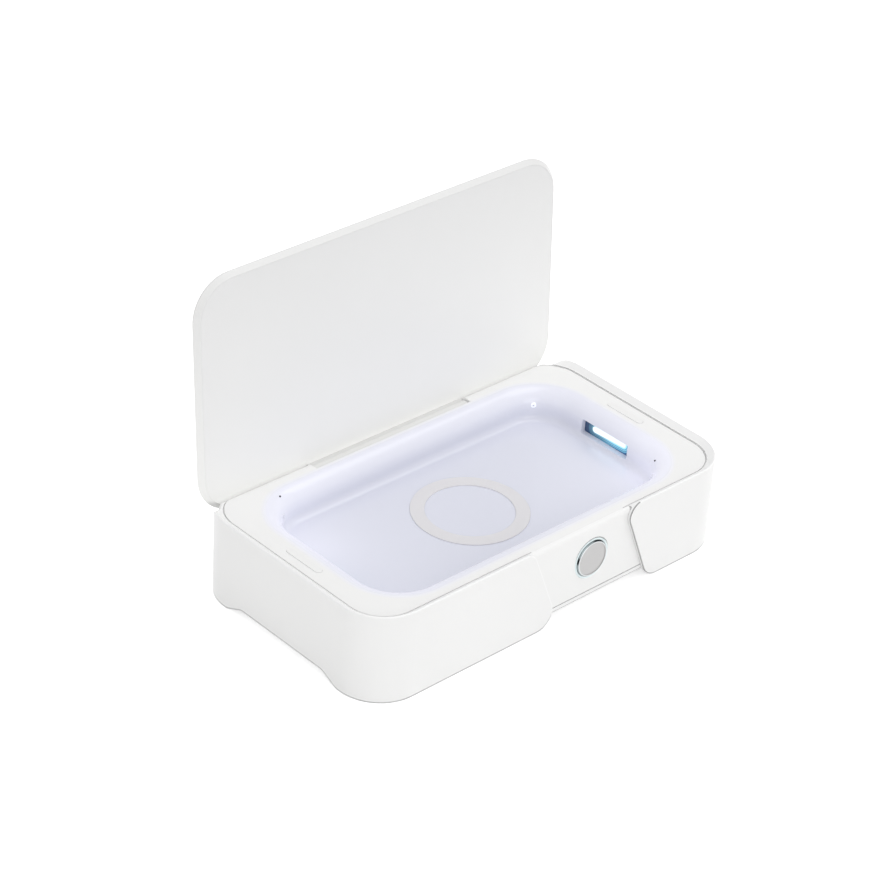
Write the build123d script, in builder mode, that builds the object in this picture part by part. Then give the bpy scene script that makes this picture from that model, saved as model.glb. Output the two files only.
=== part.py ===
from build123d import *
from math import cos, radians, sin, tan
import os

# UV sanitizer box for phones, standing open. Millimetres, +Z up, +X to the right as the
# button is faced, +Y to the back. The origin is on the table under the middle of the box
# that the open case fills. Every plan below is drawn about the middle of the case itself.

# ---- Case and side shells ----
width = 228.0             # case, end to end
depth = 128.0             # case, front to back
corner = 23.0             # plan radius of the case's corners
shell_wall = 1.8          # side shell's wall
shell_top = 47.25         # level of the side shells' lip
slip = 0.2                # gap between parts that fit in or round each other
table_gap = 0.4           # side shells hang this far above the table
underside = 5.0           # level of the bottom cover's underside
arch_flat = 57.0          # flat length of the arch under each end
arch_run = 10.0           # run of the arch's sloping sides
arch_round = 6.0          # radius of the arch's bends
arm_lean = 22.5           # lean of the arms' slanted ends, degrees
left_arm_end = -9.8       # where the left shell's front arm ends, at half height
right_arm_end = 49.3      # the same for the right shell
back_arm_end = 62.0       # the same for both back arms, off the middle
arm_edge = 28.0           # length of level edge that is drawn beside each slanted end
arm_top_round = 7.5       # corner radii of a front arm's end
arm_foot_round = 9.0
back_arm_round = 5.0      # top corner radius of a back arm's end
back_arm_room = 2.0       # room between the back arms and the open lid over them
back_drop_round = 10.0    # radius of the lip's drop to the back arms
back_drop_in = 7.2        # where the lip drops to them, in from the case's back
lip_bevel = 0.35          # bright bevel along the shells' top edge
lip_land = 0.6            # flat width on top of the lip
lip_reach = 2.2           # how far the lip slopes in over the housing's edge
lip_gap = 0.2             # gap under it, and its thickness at the tip
lip_tip = 0.15
web_length = 34.0         # corner webs that carry the screws and feet
web_breadth = 24.5
screw_in_x = 21.0         # case screws and feet, in from the case's ends and long sides
screw_in_y = 14.5

# ---- Housing, tray and bottom cover ----
rim_top = 44.5            # level of the tray's rim
housing_wall = 2.0
seam = 0.1                # open seam between housing and bottom cover
edge_round = 2.0          # rounding of the housing's top edge
land = 2.2                # housing's own narrow width of rim, round the tray's
rim_slip = 0.05           # gap between the two
groove = 0.5              # groove in the tray's rim beside the shells' lips
groove_depth = 1.0
ledge = 1.7               # plate that the tray's rim rests on
tray_wall = 1.8           # wall of the tray, its rim and floor
end_rim = 25.0            # case's outline to the tray's hollow at the ends, front and back
front_rim = 18.25
back_rim = 21.25
tray_corner = 20.0
flare = 9.0               # soft rounding from the rim into the hollow
floor_round = 3.5         # rounding between wall and floor
floor_top = 29.0          # level of the tray's floor
cover_floor = 2.0         # bottom cover's floor, and its lip outside
cover_lip = 2.7
tongue = 1.2              # bottom cover's tongue inside the housing wall
tongue_height = 3.2
cover_bevel = 0.5
boss_radius = 3.6         # screw bosses under the ledge

# ---- Lid and its hinge ----
lid_thickness = 4.0
lid_slip = 0.3            # gap between closed lid and side shells
lid_gap = 0.4             # gap between closed lid and rim, and lid and rolled edge
lid_behind_axis = 4.1     # lid's back edge behind the hinge axis when closed
lid_edge_round = 1.7      # rounding of the lid's outer edge
lid_bevel = 2.2           # bevel of its inner edge, over the shells' sloping lips
lid_border = 2.6          # lid cover's bare border round the liner
liner_slip = 0.05
liner_thickness = 1.4
liner_seat = 4.0          # width of the step that the liner rests on
lid_skin = 1.3
rib_width = 1.2
open_angle = 93.5         # lid's opening, degrees
back_step = 2.2           # housing's upper back wall set in, where the open lid stands
roll = 4.3                # rolled back edge of the housing, round the hinge axis
knuckle_length = 98.0
knuckle_radius = 3.3
knuckle_neck = 2.5        # half width of the neck between knuckle and lid
hinge_gap = 0.4           # gap round the knuckle
notch_front = 2.8         # front of the rim's notch, before the hinge axis
sill_drop = 3.3           # sill behind the knuckle, under the hinge axis
bay_wall = 2.0            # wall of the trough round the knuckle
ear = 4.0                 # hinge ears each side of the knuckle
pin_radius = 1.2
pin_slip = 0.05
pin_bevel = 0.3

# ---- Power button ----
button_x = 20.8
button_level = 26.5
button_radius = 9.5
button_proud = 1.0
button_bevel = 0.6
button_travel = 1.0
dish_radius = 8.3         # brushed dish in the button's face
dish_depth = 0.2
cap_skirt = 4.6           # button's skirt inside the wall, and the flange behind it
cap_flange = 1.0
flange_lap = 1.4
stem_radius = 2.0
stem_length = 1.2
ring_slip = 0.15          # running gap round the button
ring_wall = 0.9           # light ring's wall, and its flange behind the housing wall
ring_flange = 1.5
ring_proud = 0.1
ring_back = 0.3           # gap between the light ring and the button's flange
switch_side = 6.0         # tact switch and its plunger
switch_depth = 3.4
plunger_radius = 1.75
plunger_length = 2.3
plunger_out = 1.2
switch_board_x = 32.0
switch_board_z = 20.0
switch_board_thickness = 1.2
post_x = 13.0             # posts that carry the switch board
post_z = 7.0
post_radius = 2.2
led_pitch = 7.5           # lights for the ring, on the switch board
led_side = 1.6
led_height = 0.8

# ---- Lamps ----
window_length = 31.2
window_height = 7.5
window_level = 34.55
window_round = 0.8
pane_lap = 1.0            # how far the pane reaches past the window
pane_thickness = 1.0
frame_lap = 2.3           # lamp frame round the window, outside the tray's wall
frame_depth = 3.5         # from the hollow's wall to the frame's outer face
reflector_depth = 7.0
reflector_wall = 0.6
reflector_half = 5.4
tube_radius = 2.25
cap_radius = 2.45
cap_length = 4.5
led_radius = 1.3
led_turn = 56.0           # place of the corner lamps round the tray's corners, degrees
led_level = 37.2
led_proud = 0.2           # how far they stand out of the tray's wall
led_length = 5.0
led_flange = 0.8          # width and thickness of the flange behind the wall

# ---- Charger, boards and small parts ----
ring_inner = 21.6         # soft charging ring on the tray's floor
ring_outer = 28.6
ring_height = 0.5
coil_inner = 10.0
coil_outer = 21.0
coil_thickness = 1.2
ferrite_side = 46.0
ferrite_thickness = 0.8
ferrite_corner = 2.0
bracket_thickness = 1.5
bracket_length = 62.0
bracket_breadth = 56.0
leg_inset = 5.0
leg_radius = 3.0
board_thickness = 1.6
board_corner = 1.0
standoff = 3.0
standoff_radius = 2.6
board_inset = 4.0         # board's screws in from its edges
main_length = 84.0
main_breadth = 33.0
main_room = 0.4           # main board to the bottom cover's tongue
driver_length = 62.0
driver_breadth = 18.0
driver_room_x = 29.0      # lamp driver board to the housing's wall, at the left and in front
driver_room_y = 7.5
socket_width = 8.9
socket_height = 3.2
socket_length = 7.4
socket_wall = 0.35
socket_inset = 0.5        # socket's mouth behind the housing's back face
contact_width = 6.7       # contact tongue inside the socket
contact_thickness = 0.7
contact_length = 5.0
chip_side = 7.0           # chips, plugs and capacitors on the main board, off its middle
chip_height = 1.4
chip_x = 17.0
plug_width = 6.0
plug_length = 10.0
plug_height = 3.0
plug_x = 34.0
can_radius = 3.2
can_height = 8.0
can_x = 26.0
can_y = 7.0
transformer_length = 15.0 # transformer and parts on the lamp driver board, off its middle
transformer_breadth = 12.0
transformer_height = 9.0
transformer_x = -12.0
driver_plug_x = 10.0
pad_length = 23.0         # bumper pads on the rim
pad_width = 4.0
pad_in = 11.4             # pads in from the case's ends
pad_sink = 0.6
pad_proud = 0.3
magnet_radius = 4.0
magnet_in = 13.0
magnet_thickness = 1.2
sensor_length = 9.0
sensor_width = 4.0
sensor_height = 3.0
sensor_in = 9.0
shank = 1.5               # case screws
shank_length = 15.0
head_radius = 2.7
head_height = 1.6
small_shank = 1.0         # board screws
small_length = 3.6
small_head = 2.0
small_head_height = 1.2
pilot_slip = 0.02
foot_radius = 7.0
foot_height = 2.4
foot_taper = 0.8

hair = 0.01               # tolerance when edges are picked by their level

# ---- Worked out from the above ----
housing_length = width - 2 * (shell_wall + slip)
housing_depth = depth - 2 * (shell_wall + slip)
housing_corner = corner - shell_wall - slip
housing_foot = underside + cover_lip + seam
cover_top = underside + cover_floor
wall_inside = housing_depth / 2 - housing_wall
back_face = housing_depth / 2 - back_step
hinge_y = back_face - roll
hinge_z = rim_top - roll
lid_lift = roll + lid_gap
lid_length = width - 2 * (shell_wall + lid_slip)
lid_front = -(depth / 2 - shell_wall - lid_slip) - hinge_y
lid_depth = lid_behind_axis - lid_front
lid_middle = (lid_behind_axis + lid_front) / 2
lip_under = rim_top + lip_gap
lip_foot = lip_under + lip_tip
lean_sin = sin(radians(open_angle))
lean_cos = cos(radians(open_angle))
lid_corner = corner - shell_wall - lid_slip
lid_reach = hinge_y + lid_front * lean_cos + (lid_lift + lid_thickness) * lean_sin
case_y = (depth / 2 - lid_reach) / 2

back_drop = depth / 2 - back_drop_in
back_arm_top = hinge_z - lid_behind_axis - back_arm_room
tray_half_length = width / 2 - end_rim
tray_half_breadth = (depth - front_rim - back_rim) / 2
tray_y = (front_rim - back_rim) / 2
rim_under = rim_top - tray_wall
tub_under = floor_top - tray_wall
ledge_under = rim_under - ledge
half_knuckle = knuckle_length / 2
screw_x = width / 2 - screw_in_x
screw_y = depth / 2 - screw_in_y
pad_x = width / 2 - pad_in
ring_outside = button_radius + ring_slip + ring_wall
skirt_end = housing_depth / 2 - cap_skirt
flange_end = skirt_end - cap_flange
stem_end = flange_end - stem_length
switch_face = stem_end - plunger_out
switch_seat = switch_face - switch_depth
frame_x = tray_half_length + frame_depth
frame_length = window_length + 2 * (pane_lap + frame_lap)
board_seat = cover_top + standoff
board_top = board_seat + board_thickness
socket_level = board_top + socket_height / 2
main_y = wall_inside - slip - tongue - main_room - main_breadth / 2
driver_x = housing_wall + driver_room_x + driver_length / 2 - housing_length / 2
driver_y = driver_room_y + driver_breadth / 2 - wall_inside
led_x = tray_half_length - tray_corner * (1 - cos(radians(led_turn)))
led_y = tray_half_breadth - tray_corner * (1 - sin(radians(led_turn)))

ground = Plane((0, case_y, 0))
front_view = Plane((0, case_y, 0), x_dir=(1, 0, 0), z_dir=(0, -1, 0))
end_view = Plane((0, case_y, 0), x_dir=(0, 1, 0), z_dir=(1, 0, 0))
hinge_point = (0, case_y + hinge_y, hinge_z)
hinge_view = Plane(hinge_point, x_dir=(0, 1, 0), z_dir=(1, 0, 0))
lid_plane = Plane(hinge_point, x_dir=(1, 0, 0), z_dir=(0, lean_sin, lean_cos))
lid_view = Plane(hinge_point, x_dir=(0, lean_cos, -lean_sin), z_dir=(1, 0, 0))
button_view = Plane((button_x, case_y, button_level), x_dir=(1, 0, 0), z_dir=(0, -1, 0))

parts = {}


def keep(name, piece):
    """Labels a finished piece with its node's name and notes it for writing."""
    piece.part.label = name
    parts[name] = piece.part


def plan(length, breadth, radius, level, y=0.0):
    """A rectangle with rounded corners, drawn flat at a level of the case."""
    with BuildSketch(ground.offset(level)) as outline:
        with Locations((0, y)):
            RectangleRounded(length, breadth, radius)
    return outline.sketch


def case_plan(step, level):
    """The housing's outline, pulled in by a step."""
    return plan(housing_length - 2 * step, housing_depth - 2 * step, housing_corner - step, level)


def rolled_edge():
    """What is taken off the back edge, so that it is round about the hinge axis."""
    with BuildSketch(hinge_view) as waste:
        Rectangle(2 * roll, 2 * roll, align=(Align.MIN, Align.MIN))
        Circle(roll, mode=Mode.SUBTRACT)
    return waste.sketch


def hollow_plan(step, level):
    """The outline of the tray's hollow, grown by a step."""
    half_length, half_breadth = tray_half_length + step, tray_half_breadth + step
    return plan(2 * half_length, 2 * half_breadth, tray_corner + step, level, tray_y)


def hollow_edges(piece, level):
    """A piece's edges at a level that run round the tray's hollow, not round the rim."""
    edges = piece.edges().filter_by_position(Axis.Z, level - hair, level + hair)
    edges = edges.filter_by(lambda e: abs(e.center().X) < tray_half_length + flare / 2)
    return edges.filter_by(
        lambda e: abs(e.center().Y - case_y - tray_y) < tray_half_breadth + flare / 2
    )


def discs(plane, points, radius):
    """Round spots of one radius at points of a plane."""
    with BuildSketch(plane) as spots:
        with Locations(*points):
            Circle(radius)
    return spots.sketch


def annulus(plane, outer, inner):
    """A flat ring about a plane's origin."""
    with BuildSketch(plane) as ring:
        Circle(outer)
        Circle(inner, mode=Mode.SUBTRACT)
    return ring.sketch


def four(x, y, x_middle=0.0, y_middle=0.0):
    """The four points at plus and minus x and y about a middle."""
    return [(x_middle + a * x, y_middle + b * y) for a in (-1, 1) for b in (-1, 1)]


def screws(plane, points, drive, radius, length, head, head_depth):
    """Pan-head screws with heads on a plane; drive 1 runs the shanks along its normal."""
    with BuildPart() as group:
        extrude(discs(plane, points, radius), amount=drive * length)
        extrude(discs(plane, points, head), amount=-drive * head_depth)
        tops = group.faces().sort_by(
            lambda f: drive * (f.center() - plane.origin).dot(plane.z_dir)
        )
        chamfer(tops[: len(points)].edges(), head_depth / 3)
    return group


screw_points = four(screw_x, screw_y)
main_points = four(
    main_length / 2 - board_inset, main_breadth / 2 - board_inset, 0, main_y
)
driver_points = four(
    driver_length / 2 - board_inset, driver_breadth / 2 - board_inset, driver_x, driver_y
)
board_screw_points = main_points + driver_points
post_points = four(post_x, post_z)
led_planes = [
    Plane(
        (a * led_x, case_y + tray_y + b * led_y, led_level),
        z_dir=(a * cos(radians(led_turn)), b * sin(radians(led_turn)), 0),
    )
    for a in (-1, 1)
    for b in (-1, 1)
]

# ---- Side shells: two thin ends that wrap the case and stop at slanted arms ----


def arm_end_cut(end, side, top, top_round):
    """What an arm's slanted end leaves bare, seen from the front: side is -1 left, 1 right."""
    middle = (shell_top + table_gap) / 2
    lean = tan(radians(arm_lean))
    near, far = end + side * arm_edge, -side * width
    with BuildSketch(front_view) as bare:
        with BuildLine():
            Polyline(
                (near, -depth),
                (near, table_gap),
                (end + (middle - table_gap) * lean, table_gap),
                (end - (top - middle) * lean, top),
                (near, top),
                (near, depth),
                (far, depth),
                (far, -depth),
                close=True,
            )
        make_face()
        for pick, radius in ((0, arm_foot_round), (-1, top_round)):
            corners = bare.vertices().filter_by(lambda v: abs(v.X - end) < arm_edge - hair)
            fillet(corners.sort_by(Axis.Y)[pick], radius)
    return bare.sketch


def side_shell(side, front_end):
    """One side shell: side is -1 on the left and 1 on the right."""
    height = shell_top - table_gap
    half_arch = arch_flat / 2
    inner_length = width - 2 * shell_wall
    inner_depth = depth - 2 * shell_wall
    inner_corner = corner - shell_wall
    with BuildPart() as shell:
        extrude(plan(width, depth, corner, table_gap), amount=height)
        chamfer(shell.edges().group_by(Axis.Z)[-1], lip_bevel)
        extrude(
            plan(inner_length, inner_depth, inner_corner, table_gap),
            amount=lip_under - table_gap,
            mode=Mode.SUBTRACT,
        )
        # the lip slopes in from its flat top to a thin tip just over the rim
        tip = shell_wall + lip_reach
        tip_size = (width - 2 * tip, depth - 2 * tip, corner - tip)
        extrude(plan(*tip_size, lip_under), amount=lip_tip, mode=Mode.SUBTRACT)
        mouth = plan(width - 2 * lip_land, depth - 2 * lip_land, corner - lip_land, shell_top)
        loft([plan(*tip_size, lip_foot), mouth], ruled=True, mode=Mode.SUBTRACT)
        # the arch underneath and the drop to the back arms, seen from the end
        with BuildSketch(end_view) as profile:
            with BuildLine():
                Polyline(
                    (-depth, table_gap),
                    (-half_arch - arch_run, table_gap),
                    (-half_arch, underside),
                    (half_arch, underside),
                    (half_arch + arch_run, table_gap),
                    (depth, table_gap),
                    (depth, back_arm_top),
                    (back_drop, back_arm_top),
                    (back_drop, shell_top),
                    (-depth, shell_top),
                    close=True,
                )
            make_face()
            bends = profile.vertices().filter_by(
                lambda v: abs(v.X) < depth / 2 and v.Y <= underside
            )
            fillet(bends, arch_round)
            drop = profile.vertices().sort_by(lambda v: abs(v.X - back_drop) - v.Y)[0]
            fillet(drop, back_drop_round)
        extrude(amount=width, both=True, mode=Mode.INTERSECT)
        front_cut = arm_end_cut(front_end, side, shell_top, arm_top_round)
        extrude(front_cut, amount=depth, mode=Mode.SUBTRACT)
        back_cut = arm_end_cut(side * back_arm_end, side, back_arm_top, back_arm_round)
        extrude(back_cut, amount=-depth, mode=Mode.SUBTRACT)
        # webs across the corners: the case screws pass them, and the feet cover the heads
        with BuildSketch(ground.offset(foot_height)):
            with Locations(*[(side * width / 2, end * depth / 2) for end in (-1, 1)]):
                Rectangle(2 * web_length, 2 * web_breadth)
            RectangleRounded(inner_length, inner_depth, inner_corner, mode=Mode.INTERSECT)
        extrude(amount=underside - foot_height)
        own = [point for point in screw_points if point[0] * side > 0]
        web_under = ground.offset(foot_height)
        extrude(discs(web_under, own, shank + slip), amount=underside, mode=Mode.SUBTRACT)
        extrude(discs(web_under, own, head_radius + slip), amount=head_height, mode=Mode.SUBTRACT)
    return shell


keep("side_shell_left", side_shell(-1, left_arm_end))
keep("side_shell_right", side_shell(1, right_arm_end))

# ---- Bottom cover: the floor of the case, with a tongue inside the housing's wall ----

with BuildPart() as bottom_cover:
    tongue_out = housing_wall + slip
    extrude(case_plan(0, underside), amount=cover_lip)
    extrude(case_plan(housing_wall, cover_top), amount=tongue_height, mode=Mode.SUBTRACT)
    extrude(case_plan(tongue_out, cover_top), amount=tongue_height)
    extrude(case_plan(tongue_out + tongue, cover_top), amount=tongue_height, mode=Mode.SUBTRACT)
    extrude(discs(ground.offset(cover_top), board_screw_points, standoff_radius), amount=standoff)
    extrude(
        discs(ground.offset(board_seat), board_screw_points, small_shank + pilot_slip),
        amount=-standoff,
        mode=Mode.SUBTRACT,
    )
    extrude(
        discs(ground.offset(underside), screw_points, shank + slip),
        amount=cover_floor,
        mode=Mode.SUBTRACT,
    )
    rim = bottom_cover.faces().sort_by(Axis.Z)[0].outer_wire().edges()
    chamfer(rim, cover_bevel)
keep("bottom_cover", bottom_cover)

# ---- Housing: outer wall, ledge for the tray, hinge bay, button and socket openings ----

with BuildPart() as housing:
    wall_height = rim_top - housing_foot
    extrude(case_plan(0, housing_foot), amount=wall_height)
    fillet(housing.edges().group_by(Axis.Z)[-1], edge_round)
    extrude(
        case_plan(housing_wall, housing_foot),
        amount=ledge_under - housing_foot,
        mode=Mode.SUBTRACT,
    )
    # the upper back wall is set in, on a rail inside, and rolled round the hinge axis
    rail = back_arm_top - housing_wall
    with BuildSketch(ground.offset(rail)):
        RectangleRounded(housing_length, housing_depth, housing_corner)
        with Locations((0, back_face - housing_wall)):
            Rectangle(width, depth, align=(Align.CENTER, Align.MIN), mode=Mode.INTERSECT)
    extrude(amount=ledge_under - rail)
    with BuildSketch(end_view):
        with Locations((back_face, back_arm_top)):
            Rectangle(depth, depth, align=(Align.MIN, Align.MIN))
    extrude(amount=width, both=True, mode=Mode.SUBTRACT)
    extrude(rolled_edge(), amount=width, both=True, mode=Mode.SUBTRACT)
    # bosses for the case screws, from the bottom cover up to the ledge
    extrude(discs(ground.offset(cover_top), screw_points, boss_radius), amount=ledge_under - cover_top)
    extrude(
        discs(ground.offset(cover_top), screw_points, shank + pilot_slip),
        amount=shank_length,
        mode=Mode.SUBTRACT,
    )
    # the block that carries the hinge
    bay = knuckle_radius + hinge_gap + bay_wall
    with BuildSketch(hinge_view):
        with Locations((-bay, -bay)):
            Rectangle(bay + roll, bay + ledge_under - hinge_z, align=(Align.MIN, Align.MIN))
    extrude(amount=half_knuckle + hinge_gap + ear, both=True)
    # the hole that the tray hangs through, and the pocket for its rim
    extrude(hollow_plan(flare + slip, ledge_under), amount=wall_height, mode=Mode.SUBTRACT)
    extrude(case_plan(land, rim_under), amount=wall_height, mode=Mode.SUBTRACT)
    # the bay: a round trough for the knuckle, open above, and behind down to its sill
    with BuildSketch(hinge_view):
        Circle(knuckle_radius + hinge_gap)
        with Locations((-notch_front, 0)):
            Rectangle(notch_front + 2 * roll, 2 * roll, align=(Align.MIN, Align.MIN))
        with Locations((0, -sill_drop)):
            Rectangle(2 * roll, 2 * roll, align=(Align.MIN, Align.MIN))
    extrude(amount=half_knuckle + hinge_gap, both=True, mode=Mode.SUBTRACT)
    with BuildSketch(hinge_view):
        Circle(pin_radius + pilot_slip)
    extrude(amount=half_knuckle + hinge_gap + ear, both=True, mode=Mode.SUBTRACT)
    # front wall: the button's hole, with posts for the switch board
    hole = discs(button_view.offset(wall_inside), [(0, 0)], ring_outside + ring_slip)
    extrude(hole, amount=2 * housing_wall, mode=Mode.SUBTRACT)
    seat = button_view.offset(switch_seat)
    extrude(discs(seat, post_points, post_radius), amount=wall_inside - switch_seat)
    extrude(
        discs(seat, post_points, small_shank + pilot_slip),
        amount=small_length,
        mode=Mode.SUBTRACT,
    )
    # back wall: the socket's opening
    with BuildSketch(front_view.offset(-housing_depth / 2)):
        with Locations((0, socket_level)):
            RectangleRounded(
                socket_width + 2 * slip, socket_height + 2 * slip, socket_height / 2 - slip
            )
    extrude(amount=2 * housing_wall, mode=Mode.SUBTRACT)
keep("housing", housing)

# ---- Tray: a glossy tub with a soft flare, hung by its rim in the housing ----

with BuildPart() as tray:
    extrude(case_plan(land + rim_slip, rim_under), amount=tray_wall)
    extrude(hollow_plan(tray_wall, tub_under), amount=rim_under - tub_under)
    fillet(hollow_edges(tray, rim_under), flare - tray_wall)
    fillet(tray.edges().group_by(Axis.Z)[0], floor_round)
    # frames for the lamps, outside the end walls
    for side in (-1, 1):
        with BuildSketch(end_view.offset(side * tray_half_length)):
            with Locations((tray_y, window_level)):
                Rectangle(frame_length, 2 * reflector_half)
        extrude(amount=side * frame_depth)
    extrude(hollow_plan(0, floor_top), amount=rim_top, mode=Mode.SUBTRACT)
    fillet(hollow_edges(tray, rim_top), flare)
    fillet(hollow_edges(tray, floor_top), floor_round)
    # lamp windows, each with a step for its pane
    for side in (-1, 1):
        with BuildSketch(end_view.offset(side * (tray_half_length - flare / 2))):
            with Locations((tray_y, window_level)):
                RectangleRounded(window_length, window_height, window_round)
        extrude(amount=side * flare, mode=Mode.SUBTRACT)
        with BuildSketch(end_view.offset(side * (frame_x - pane_thickness))):
            with Locations((tray_y, window_level)):
                Rectangle(window_length + 2 * pane_lap, window_height + 2 * pane_lap)
        extrude(amount=side * flare, mode=Mode.SUBTRACT)
    # the same rolled back edge as the housing's, and a notch for the lid's knuckle
    extrude(rolled_edge(), amount=width, both=True, mode=Mode.SUBTRACT)
    with BuildSketch(hinge_view):
        with Locations((-notch_front, -roll)):
            Rectangle(2 * roll, 3 * roll, align=(Align.MIN, Align.MIN))
    extrude(amount=half_knuckle + hinge_gap, both=True, mode=Mode.SUBTRACT)
    # the groove beside the shells' lips, with none where the front is bare
    with BuildPart(mode=Mode.SUBTRACT):
        groove_floor = rim_top - groove_depth
        extrude(case_plan(land, groove_floor), amount=tray_wall)
        extrude(
            case_plan(land + rim_slip + groove, groove_floor), amount=tray_wall, mode=Mode.SUBTRACT
        )
        with BuildSketch(ground.offset(groove_floor)):
            with Locations((left_arm_end - arm_top_round, -depth)):
                Rectangle(right_arm_end - left_arm_end, depth, align=(Align.MIN, Align.MIN))
        extrude(amount=tray_wall, mode=Mode.SUBTRACT)
    # pockets for the pads, and holes for the corner lamps
    with BuildSketch(ground.offset(rim_top - pad_sink)):
        with Locations((-pad_x, tray_y), (pad_x, tray_y)):
            SlotOverall(pad_length, pad_width, rotation=90)
    extrude(amount=2 * pad_sink, mode=Mode.SUBTRACT)
    for led_plane in led_planes:
        hole = discs(led_plane, [(0, 0)], led_radius + pilot_slip)
        extrude(hole, amount=led_length, both=True, mode=Mode.SUBTRACT)
keep("tray", tray)

# ---- Lamps: a tube in a bright trough behind a clear pane at each end of the tray ----


def lamp(side):
    """The pane, trough, tube and tube caps of one end: side is -1 on the left, 1 on the right."""
    half_tube = frame_length / 2 - reflector_wall
    centre = (tray_y, window_level)
    with BuildPart() as pane:
        with BuildSketch(end_view.offset(side * (frame_x - pane_thickness))):
            with Locations(centre):
                Rectangle(
                    window_length + 2 * pane_lap - slip, window_height + 2 * pane_lap - slip
                )
        extrude(amount=side * pane_thickness)
    with BuildPart() as reflector:
        with BuildSketch(end_view.offset(side * frame_x)):
            with Locations(centre):
                Rectangle(frame_length, 2 * reflector_half)
        extrude(amount=side * reflector_depth)
        with BuildSketch(end_view.offset(side * frame_x)):
            with Locations(centre):
                Rectangle(2 * half_tube, 2 * (reflector_half - reflector_wall))
        extrude(amount=side * (reflector_depth - reflector_wall), mode=Mode.SUBTRACT)
    tube_axis = Plane(
        (side * (frame_x + reflector_depth / 2), case_y + tray_y, window_level),
        x_dir=(1, 0, 0),
        z_dir=(0, -1, 0),
    )
    with BuildPart() as tube:
        extrude(discs(tube_axis, [(0, 0)], tube_radius), amount=half_tube - cap_length, both=True)
    with BuildPart() as caps:
        for end in (-1, 1):
            foot = tube_axis.offset(end * half_tube)
            extrude(discs(foot, [(0, 0)], cap_radius), amount=-end * cap_length)
    return {"lamp_pane": pane, "lamp_reflector": reflector, "lamp_tube": tube, "lamp_caps": caps}


for name, side in (("left", -1), ("right", 1)):
    for kind, piece in lamp(side).items():
        keep(f"{kind}_{name}", piece)

# small violet lamps that shine across the tray from its corners
with BuildPart() as corner_lamps:
    for led_plane in led_planes:
        lens = led_plane.offset(-led_proud)
        extrude(discs(lens, [(0, 0)], led_radius), amount=led_length)
        rings = corner_lamps.edges().filter_by(GeomType.CIRCLE)
        nose = rings.sort_by_distance(lens.origin)[0]
        fillet(nose, led_proud * 0.9)
        heel = lens.offset(led_length)
        extrude(discs(heel, [(0, 0)], led_radius + led_flange), amount=-led_flange)
keep("corner_lamps", corner_lamps)

# ---- Rim pads, charging ring, and the charger under the tray's floor ----

for name, side in (("left", -1), ("right", 1)):
    with BuildPart() as rim_pad:
        with BuildSketch(ground.offset(rim_top - pad_sink)):
            with Locations((side * pad_x, tray_y)):
                SlotOverall(pad_length - slip, pad_width - slip, rotation=90)
        extrude(amount=pad_sink + pad_proud)
        fillet(rim_pad.edges().group_by(Axis.Z)[-1], pad_proud / 2)
    keep(f"rim_pad_{name}", rim_pad)

tray_floor = Plane((0, case_y + tray_y, floor_top))
with BuildPart() as charge_ring:
    extrude(annulus(tray_floor, ring_outer, ring_inner), amount=ring_height)
    fillet(charge_ring.edges().group_by(Axis.Z)[-1], ring_height / 2)
keep("charge_ring", charge_ring)

under_tub = Plane((0, case_y + tray_y, tub_under))
with BuildPart() as charging_coil:
    extrude(annulus(under_tub, coil_outer, coil_inner), amount=-coil_thickness)
keep("charging_coil", charging_coil)

with BuildPart() as ferrite_plate:
    with BuildSketch(under_tub.offset(-coil_thickness)):
        RectangleRounded(ferrite_side, ferrite_side, ferrite_corner)
    extrude(amount=-ferrite_thickness)
keep("ferrite_plate", ferrite_plate)

with BuildPart() as coil_bracket:
    with BuildSketch(under_tub.offset(-coil_thickness - ferrite_thickness)):
        RectangleRounded(bracket_length, bracket_breadth, leg_inset)
        Circle(coil_inner, mode=Mode.SUBTRACT)
    extrude(amount=-bracket_thickness)
    legs = four(bracket_length / 2 - leg_inset, bracket_breadth / 2 - leg_inset, 0, tray_y)
    leg_height = tub_under - coil_thickness - ferrite_thickness - bracket_thickness - cover_top
    extrude(discs(ground.offset(cover_top), legs, leg_radius), amount=leg_height)
keep("coil_bracket", coil_bracket)

# ---- Boards on the bottom cover, with what is soldered to them ----

board_view = ground.offset(board_seat)
parts_view = ground.offset(board_top)

with BuildPart() as main_board:
    with BuildSketch(board_view):
        with Locations((0, main_y)):
            RectangleRounded(main_length, main_breadth, board_corner)
    extrude(amount=board_thickness)
    holes = discs(board_view, main_points, small_shank + slip)
    extrude(holes, amount=board_thickness, mode=Mode.SUBTRACT)
    with BuildSketch(parts_view):
        with Locations((-chip_x, main_y), (chip_x, main_y)):
            Rectangle(chip_side, chip_side)
    extrude(amount=chip_height)
    with BuildSketch(parts_view):
        with Locations((-plug_x, main_y), (plug_x, main_y)):
            Rectangle(plug_width, plug_length)
    extrude(amount=plug_height)
    cans = [(-can_x, main_y + can_y), (can_x, main_y + can_y)]
    extrude(discs(parts_view, cans, can_radius), amount=can_height)
keep("main_board", main_board)

with BuildPart() as power_socket:
    mouth_view = front_view.offset(-housing_depth / 2 + socket_inset)
    with BuildSketch(mouth_view):
        with Locations((0, socket_level)):
            RectangleRounded(socket_width, socket_height, socket_height / 2 - slip)
            RectangleRounded(
                socket_width - 2 * socket_wall,
                socket_height - 2 * socket_wall,
                socket_height / 2 - slip - socket_wall,
                mode=Mode.SUBTRACT,
            )
    extrude(amount=socket_length)
    with BuildSketch(mouth_view.offset(socket_length)):
        with Locations((0, socket_level)):
            RectangleRounded(socket_width, socket_height, socket_height / 2 - slip)
    extrude(amount=-socket_wall)
    with BuildSketch(mouth_view.offset(socket_length - socket_wall)):
        with Locations((0, socket_level)):
            Rectangle(contact_width, contact_thickness)
    extrude(amount=-contact_length)
keep("power_socket", power_socket)

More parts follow.
